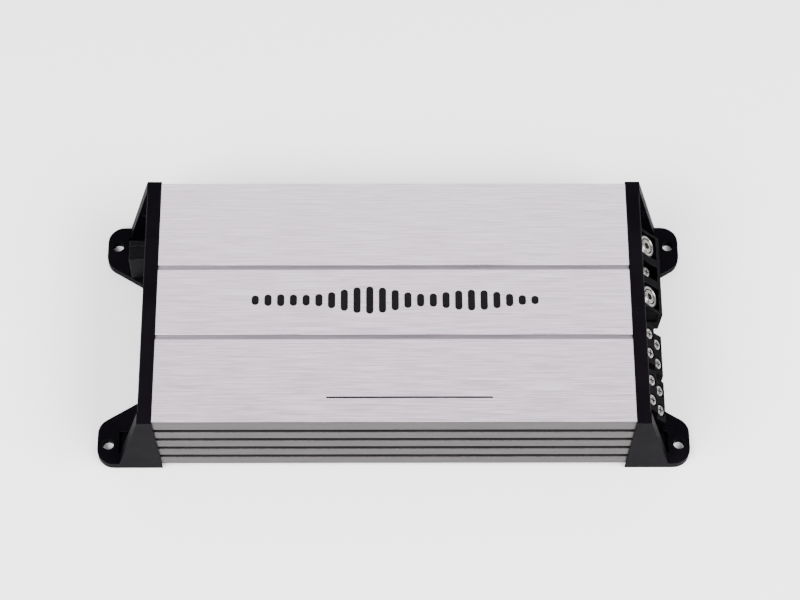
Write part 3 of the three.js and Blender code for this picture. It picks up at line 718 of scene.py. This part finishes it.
power = {
    "tilt": 48,
    "edge": 0.4,
    "washer": 5.4,
    "washerHole": 2.8,
    "washerCup": 3.9,
    "washerFloor": 0.5,
    "washerHeight": 1.6,
    "screwLength": 6.5,
    "remoteLength": 5,
}


def powerBlock():
    bm = solidOf("power_terminal_block")
    rounded(bm, power["edge"], 3)
    return piece(
        "powerTerminalBlock", bm, ["terminalPlastic"], stands=["power_terminal_block"],
    )


def clampWasher(name):
    place = placeOf(f"{name}_clamp_washer", power["tilt"])
    outer, hole, cup = power["washer"], power["washerHole"], power["washerCup"]
    foot, floor = -power["washerHeight"], power["washerFloor"] - power["washerHeight"]
    profile = [
        (hole, floor), (cup, floor), (cup, -0.3), (cup + 0.2, -0.04), (cup + 0.5, 0),
        (cup + 0.62, -0.12), (cup + 0.74, -0.12), (cup + 0.86, 0),  # a fine groove in the rim
        (outer - 0.28, -0.03), (outer, -0.3), (outer, foot), (hole, foot),
    ]
    bm = blank()
    spun(bm, profile, place, 64, closed=True, soft=0.08)
    return piece(
        f"{name}ClampWasher", bm, ["plated"], f"{name}_clamp_body", [f"{name}_clamp_washer"],
    )


# bright cages seen down the wire entries: where each starts and ends in X and Z, its half
# width, where it stands in Y, and its corners
plates = {
    "cable": {"x": (114.6, 115.4), "z": (6.8, 15.6), "half": 4.5, "y": (14.5, 41.8)},
    "remote": {"x": (114.6, 115.4), "z": (8.85, 13.1), "half": 2.15, "y": (28.1,)},
    "lowerRow": {"x": (117.9, 118.4), "z": (7.9, 13.6), "half": 2.4},
    "upperRow": {"x": (113.45, 113.9), "z": (23.8, 27.8), "half": 2.4},
    "speakerY": (-42.8, -32.8, -18.7, -8.7),
}


def wirePlate(bm, plate, y, radius, soft):
    low = (plate["x"][0], y - plate["half"], plate["z"][0])
    high = (plate["x"][1], y + plate["half"], plate["z"][1])
    slab(bm, low, high, radius=radius, axis=0, soft=soft)


def wirePlates():
    bm = blank()
    for kind in ("cable", "remote"):
        for y in plates[kind]["y"]:
            wirePlate(bm, plates[kind], y, 0.5, 0.1)
    for y in plates["speakerY"]:
        for row in ("lowerRow", "upperRow"):
            wirePlate(bm, plates[row], y, 0.4, 0.08)
    return piece("wireEntryPlates", bm, ["plated"])


powerBlock()
for name in ("ground", "positive"):
    clampWasher(name)
    screwPiece(
        f"{name}_terminal_screw", f"{name}TerminalScrew", largeScrew, power["tilt"],
        power["screwLength"], "plated", f"{name}_screw_body",
    )
screwPiece(
    "remote_terminal_screw", "remoteTerminalScrew", smallScrew, power["tilt"],
    power["remoteLength"], "plated", "remote_screw_body",
)
wirePlates()
print("power terminals made")


# the speaker terminals

speaker = {
    "edge": 0.32,
    "tilt": 48,
    "screwLength": 5,
}

for row in ("front", "rear"):
    fromNode(
        f"{row}_speaker_block", f"{row}SpeakerBlock", "terminalPlastic", speaker["edge"],
        segments=3,
    )
    for channel in ("left", "right"):
        for sign in ("negative", "positive"):
            stem = f"{row}_{channel}_{sign}_screw"
            screwPiece(
                stem, f"{row}{channel.title()}{sign.title()}Screw", smallScrew, speaker["tilt"],
                speaker["screwLength"], "plated", stem + "_body",
            )
print("speaker terminals made")


# the panels behind the caps

panel = {
    "edge": 0.15,
    "tickFrom": 3.55,
    "tickTo": 4.05,
    "tickWidth": 0.22,
    "ticks": 11,
    "sweep": 140,
    "ink": 0.04,
    "sunk": 0.02,
    "dash": (2.0, 3.2),  # a switch's marks, from its middle
    "dashHalf": 0.14,
    "steps": (-2, 0, 2),
}
knobNames = ("front_level", "rear_level", "high_pass", "low_pass")

fromNode("terminal_panel", "terminalPanel", "steel", panel["edge"])
fromNode("control_panel", "controlPanel", "steel", panel["edge"])


def panelMarks():  # ticks round the knobs and beside the switches
    bm = blank()
    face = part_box("control_panel")[0].x / mm
    half, sunk = panel["tickWidth"] / 2, panel["sunk"]
    for name in knobNames:
        seat = placeOf(f"{name}_knob", -90)
        middle = Vector((face * mm, seat.translation.y, seat.translation.z))
        base = Matrix.Translation(middle) @ Matrix.Rotation(math.radians(-90), 4, "Y")
        for i in range(panel["ticks"]):
            angle = math.radians(-panel["sweep"] + 2 * panel["sweep"] * i / (panel["ticks"] - 1))
            turn = base @ Matrix.Rotation(angle, 4, "Z")
            slab(bm, (panel["tickFrom"], -half, -sunk), (panel["tickTo"], half, panel["ink"]), place=turn)
    near, far = panel["dash"]
    for name in ("front", "rear"):
        low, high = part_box(f"{name}_filter_slider")
        y, z = (low.y + high.y) / 2 / mm, (low.z + high.z) / 2 / mm
        for step in panel["steps"]:
            bottom, top = z + step - panel["dashHalf"], z + step + panel["dashHalf"]
            slab(bm, (face - panel["ink"], y - far, bottom), (face + sunk, y - near, top))
    return piece("panelMarks", bm, ["whiteInk"])


panelMarks()
print("panels made")


# the signal side

jack = {
    "radius": 4.15,
    "wall": 0.6,
    "flange": 5.2,
    "flangeThickness": 0.8,
    "length": 6.4,
    "bore": 1.6,
    "boreDepth": 9.0,
    "core": 3.25,
    "contact": 0.2,  # the gold sleeve's wall, in the bore
    "housingCorner": 0.8,
    "housingEdge": 0.25,
}
knob = {
    "radius": 3.2,
    "length": 4.6,
    "flutes": 16,
    "flute": 0.28,
    "crown": 0.45,
    "shaft": 1.5,
    "shaftDepth": 4.8,
    "pointer": (0.7, 2.65),
    "pointerHalf": 0.24,
}
socket = {
    "edge": 0.3,
    "rows": (-1.9, 1.9),
    "pins": 4,
    "pitch": 3.6,
    "pinHalf": 0.35,
    "pinStart": 3.2,
    "pinLength": 7.6,
}
potentiometerEdge = 0.25
switchEdge = 0.2


def jackShell(channel, pair):
    node = f"{pair}_{channel}_input_jack"
    outer, inner = jack["radius"], jack["radius"] - jack["wall"]
    foot = -jack["length"]
    rim = foot + jack["flangeThickness"]
    profile = [
        (inner, foot), (jack["flange"], foot), (jack["flange"], rim - 0.15), (jack["flange"] - 0.2, rim),
        (outer, rim), (outer, -1.1), (outer - 0.14, -0.95), (outer - 0.14, -0.7), (outer, -0.55),
        (outer, -0.15), (outer - 0.15, 0), (inner + 0.1, 0), (inner, -0.2),
    ]
    bm = blank()
    spun(bm, profile, placeOf(node, -90), 48, closed=True, soft=0.05)
    return piece(f"{pair}{channel.title()}InputJack", bm, ["nickel"], stands=[node])


def jackHousing():
    bm = blank()
    low, high = (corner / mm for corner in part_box("input_jack_housing"))
    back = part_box("heatsink_shell")[0].x / mm  # the body stands behind the panel, inside the case
    slab(bm, (back, low.y, low.z), high, radius=jack["housingCorner"], axis=0, soft=jack["housingEdge"])
    bore, core, foot = jack["bore"], jack["core"], -(jack["length"] + 1.6)
    deep, sleeve = -jack["boreDepth"], jack["bore"] - jack["contact"]
    insulator = [
        (bore, deep), (bore, -0.4), (bore + 0.35, 0), (core - 0.25, 0), (core, -0.25), (core, foot),
        (bore, foot),
    ]
    contact = [(bore, deep + 0.2), (bore, -1.2), (sleeve, -1.2), (sleeve, deep + 0.2)]
    for channel, colour in (("left", 1), ("right", 2)):
        for pair in ("front", "rear"):
            place = placeOf(f"{pair}_{channel}_input_jack", -90)
            spun(bm, insulator, place, 40, closed=True, material=colour)
            spun(bm, contact, place, 32, closed=True, material=3)
    return piece(
        "inputJackHousing", bm, ["socketPlastic", "whitePlastic", "redPlastic", "gold"],
        stands=["input_jack_housing"],
    )


def knobPiece(name):
    place = placeOf(f"{name}_knob", -90)
    bm = blank()
    made = bmesh.ops.create_circle(bm, cap_ends=True, radius=knob["radius"] * mm, segments=128)["verts"]
    for vert in made:  # shallow flutes round the rim
        angle = math.atan2(vert.co.y, vert.co.x)
        wave = 0.5 - 0.5 * math.cos(knob["flutes"] * angle)
        inward = 1 - knob["flute"] / knob["radius"] * wave ** 1.5
        vert.co.x *= inward
        vert.co.y *= inward
    rim = list({face for vert in made for face in vert.link_faces})
    grown = bmesh.ops.extrude_face_region(bm, geom=rim)["geom"]
    lifted = [item for item in grown if isinstance(item, bmesh.types.BMVert)]
    bmesh.ops.translate(bm, vec=(0, 0, -knob["length"] * mm), verts=lifted)
    settle(bm, set(), Matrix())
    crown = [e for e in bm.edges if all(v.co.z > -0.0001 for v in e.verts) and e.calc_face_angle(0) > 1]
    rounded(bm, knob["crown"], 4, 40, edges=crown)
    bmesh.ops.transform(bm, matrix=place, verts=bm.verts)
    top, foot = 0.2 - knob["length"], -knob["length"] - knob["shaftDepth"]
    spun(bm, [(0, top), (knob["shaft"], top), (knob["shaft"], foot), (0, foot)], place, 32)
    (start, end), half = knob["pointer"], knob["pointerHalf"]
    slab(bm, (start, -half, -0.3), (end, half, 0.03), radius=0.2, material=1, place=place)
    return piece(
        f"{pieceName(name)}Knob", bm, ["knobPlastic", "whiteInk"], f"{name}_knob_body",
        [f"{name}_knob"],
    )


def highLevelSocket():
    bm = solidOf("high_level_socket")
    rounded(bm, socket["edge"], 3)
    return piece(
        "highLevelSocket", bm, ["socketPlastic"], stands=["high_level_socket"],
    )


def socketPins():
    low, high = (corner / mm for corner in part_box("high_level_socket"))
    middle = (low + high) / 2
    start, half = low.x + socket["pinStart"], socket["pinHalf"]
    bm = blank()
    for row in socket["rows"]:
        for i in range(socket["pins"]):
            y, z = middle.y + row, middle.z + (i - (socket["pins"] - 1) / 2) * socket["pitch"]
            corner = (start, y - half, z - half)
            slab(bm, corner, (start + socket["pinLength"], y + half, z + half), soft=0.12)
    return piece("socketPins", bm, ["gold"])


for channel in ("left", "right"):
    for pair in ("front", "rear"):
        jackShell(channel, pair)
jackHousing()
for name in knobNames:
    knobPiece(name)
    fromNode(
        f"{name}_potentiometer", f"{pieceName(name)}Potentiometer", "epoxy", potentiometerEdge,
    )
for name in ("front", "rear"):
    fromNode(f"{name}_filter_switch", f"{name}FilterSwitch", "epoxy", switchEdge)
    fromNode(
        f"{name}_filter_slider", f"{name}FilterSlider", "knobPlastic", switchEdge,
        body=f"{name}_filter_slider_body",
    )
highLevelSocket()
socketPins()

lens = {
    "radius": 1.5,
    "length": 5.4,
}


def indicator():
    bm = blank()
    place = placeOf("power_indicator", -90)
    radius, foot = lens["radius"], -lens["length"]
    angles = [math.radians(degrees) for degrees in range(0, 91, 15)]
    dome = [(radius * math.sin(angle), radius * math.cos(angle) - radius) for angle in angles]
    spun(bm, dome + [(radius, foot), (0, foot)], place, 40)
    return piece("powerIndicator", bm, ["lens"], stands=["power_indicator"])


indicator()
print("signal side made")


# inside the case

board = {
    "top": 15.1,
    "edge": 0.15,
    "seated": (14.5, 18.5),  # what starts between these heights stands on the board
    "tries": 120,
    "margin": (12, 8),
    "chips": ((1.6, 0.8), (2.0, 1.25), (3.2, 1.6), (5.0, 4.0), (7.0, 7.0)),
    "seed": 7,
}
transistorEdge = 0.25
winding = {
    "turns": 34,
    "wire": 0.55,
    "inner": 7.75,
    "outer": 16.2,
    "height": 14.2,
    "level": 7.5,
    "points": 24,
}
capacitor = {
    "stripe": 0.5,  # radians to each side
    "stripeFrom": 3.0,
}
inductorEdge = 0.5


def clear(x, y, wide, deep, taken):
    return all(
        x + wide < low.x or x - wide > high.x or y + deep < low.y or y - deep > high.y
        for low, high in taken
    )


def boardChips():
    rng = random.Random(board["seed"])
    low, high = (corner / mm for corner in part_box("circuit_board"))
    boxes = [[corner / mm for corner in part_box(node)] for node in cadNodes]
    first, last = board["seated"]
    taken = [corners for corners in boxes if first < corners[0].z < last]
    sideways, inward = board["margin"]
    top = board["top"]
    bm = blank()
    for _ in range(board["tries"]):
        wide, deep = rng.choice(board["chips"])
        tall = 0.5 + 0.14 * wide
        x = rng.uniform(low.x + sideways, high.x - sideways)
        y = rng.uniform(low.y + inward, high.y - inward)
        if rng.random() < 0.5:
            wide, deep = deep, wide
        if not clear(x, y, wide, deep, taken):
            continue
        left, right, front, rear = x - wide / 2, x + wide / 2, y - deep / 2, y + deep / 2
        slab(bm, (left, front, top - 0.05), (right, rear, top + tall), soft=0.08)
        if wide > deep:  # bright ends
            for end in (left, right - 0.25):
                corner = (end + 0.3, rear + 0.03, top + tall + 0.03)
                slab(bm, (end - 0.05, front - 0.03, top - 0.04), corner, material=1)
    return piece("boardChips", bm, ["epoxy", "plated"])


def copperTurns(place):  # each turn is a rounded square round the core's ring
    coil = bpy.data.curves.new("winding", "CURVE")
    coil.dimensions = "3D"
    coil.bevel_depth = winding["wire"] * mm
    coil.bevel_resolution = 1
    middle = (winding["inner"] + winding["outer"]) / 2
    reach = (winding["outer"] - winding["inner"]) / 2
    rise = winding["height"] / 2 - 0.6
    for i in range(winding["turns"]):
        turn = place @ Matrix.Rotation(2 * math.pi * i / winding["turns"], 4, "Z")
        spline = coil.splines.new("POLY")
        spline.use_cyclic_u = True
        spline.points.add(winding["points"] - 1)
        for k, point in enumerate(spline.points):
            angle = 2 * math.pi * k / winding["points"]
            across = abs(math.cos(angle)) ** 0.4 * math.copysign(1, math.cos(angle))
            upward = abs(math.sin(angle)) ** 0.4 * math.copysign(1, math.sin(angle))
            spot = Vector(((middle + reach * across) * mm, 0, (winding["level"] + rise * upward) * mm))
            point.co = (*(turn @ spot), 1)
    return coil


def supplyTransformer():
    low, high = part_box("supply_transformer")
    place = Matrix.Translation(((low.x + high.x) / 2, (low.y + high.y) / 2, low.z))
    bm = blank()
    core = [
        (8.6, 2.2), (9.6, 1.2), (14.4, 1.2), (15.4, 2.2), (15.4, 12.8), (14.4, 13.8), (9.6, 13.8),
        (8.6, 12.8),
    ]
    spun(bm, core, place, 64, closed=True)
    coil = copperTurns(place)
    holder = bpy.data.objects.new("winding", coil)
    wound = bpy.data.meshes.new_from_object(holder)
    first = len(bm.faces)
    bm.from_mesh(wound)
    bm.faces.ensure_lookup_table()
    for face in bm.faces[first:]:
        face.material_index = 1
    bpy.data.objects.remove(holder)
    return piece(
        "supplyTransformer", bm, ["ferrite", "copper"], stands=["supply_transformer"],
    )


def supplyCapacitor(i):
    node = f"supply_capacitor_{i}"
    low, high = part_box(node)
    place = Matrix.Translation(((low.x + high.x) / 2, (low.y + high.y) / 2, low.z))
    radius, tall = (high.x - low.x) / 2 / mm, (high.z - low.z) / mm
    profile = [
        (0, 0.1), (radius - 0.4, 0.1), (radius - 0.1, 0.4), (radius, 1.5), (radius - 0.5, 2.1),
        (radius, 2.8), (radius, tall - 0.5), (radius - 0.35, tall - 0.05), (radius - 1.1, tall),
        (radius - 1.2, tall - 0.2),
    ]
    bm = blank()
    spun(bm, profile, place, 40)
    stripe = bm.verts.layers.float["stripe"]
    for vert in bm.verts:
        local = place.inverted() @ vert.co
        near = abs(math.atan2(local.y, local.x)) < capacitor["stripe"]
        vert[stripe] = float(near and local.z > capacitor["stripeFrom"] * mm)
    lid = [(radius - 1.2, tall - 0.22), (radius - 1.5, tall - 0.15), (0, tall - 0.15)]
    spun(bm, lid, place, 40, material=1)
    for turn in (45, 135):  # the lid's pressed cross
        slab(
            bm, (-radius + 2.4, -0.2, tall - 0.3), (radius - 2.4, 0.2, tall - 0.1), soft=0.06, material=1,
            place=place @ Matrix.Rotation(math.radians(turn), 4, "Z"),
        )
    return piece(f"supplyCapacitor{i}", bm, ["sleeve", "can"], stands=[node])


def outputInductor(i):
    node = f"output_inductor_{i}"
    low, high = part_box(node)
    bm = solidOf(node)
    rounded(bm, inductorEdge, 3)
    place = Matrix.Translation(((low.x + high.x) / 2, (low.y + high.y) / 2, high.z))
    spun(bm, [(0, 0.02), (4.4, 0.02), (4.7, -0.1), (4.7, -0.6), (0, -0.6)], place, 48, soft=0.05)
    return piece(f"outputInductor{i}", bm, ["ferrite"], stands=[node])


fromNode("circuit_board", "circuitBoard", "board", board["edge"])
boardChips()
supplyTransformer()
for i in (1, 2, 3):
    supplyCapacitor(i)
for i in (1, 2, 3, 4):
    outputInductor(i)
for kind in ("audio", "supply"):
    for i in (1, 2):
        node, name = f"{kind}_transistor_{i}", f"{kind}Transistor{i}"
        fromNode(node, name, "epoxy", transistorEdge)
print("inside made")


# floor and light

studio = {
    "floor": 3.0,
    "floorTone": (0.9, 0.9, 0.9),
    "world": 0.86,
}
softboxes = {
    "leftKey": {"place": (-0.95, -0.75, 1.25), "size": (1.3, 0.9), "power": 74.0},
    "rightKey": {"place": (1.05, -0.55, 1.25), "size": (1.3, 0.9), "power": 74.0},
    "backStrip": {"place": (0.0, 1.2, 1.5), "size": (1.6, 0.5), "power": 7.0},
}


def studioFloor():
    f = Finish("floorPaper")
    slow = f.noise(3.0, 3.0)
    fine = f.noise(900.0, 2.0)
    tone = f.blend(slow, studio["floorTone"], tuple(part * 0.98 for part in studio["floorTone"]))
    material = f.surface(Base_Color=tone, Roughness=0.8 + fine * 0.1, Normal=f.bump(fine, 0.00001))
    bm = bmesh.new()
    bmesh.ops.create_grid(bm, x_segments=1, y_segments=1, size=studio["floor"])
    mesh = bpy.data.meshes.new("studioFloor")
    bm.to_mesh(mesh)
    bm.free()
    mesh.materials.append(material)
    floor = bpy.data.objects.new("studioFloor", mesh)
    bpy.context.scene.collection.objects.link(floor)


def softbox(name, place, size, power):  # faces the origin
    data = bpy.data.lights.new(name, "AREA")
    data.shape = "RECTANGLE"
    data.size, data.size_y = size
    data.energy = power
    lamp = bpy.data.objects.new(name, data)
    lamp.location = place
    lamp.rotation_euler = (-Vector(place)).to_track_quat("-Z", "Y").to_euler()
    bpy.context.scene.collection.objects.link(lamp)


def studioWorld():
    world = bpy.data.worlds.new("studioWorld")
    world.use_nodes = True
    sky = world.node_tree.nodes["Background"]
    sky.inputs["Color"].default_value = (0.97, 0.97, 1.0, 1)
    sky.inputs["Strength"].default_value = studio["world"]
    bpy.context.scene.world = world


studioFloor()
studioWorld()
for name, lamp in softboxes.items():
    softbox(name, **lamp)
print("floor and light made")
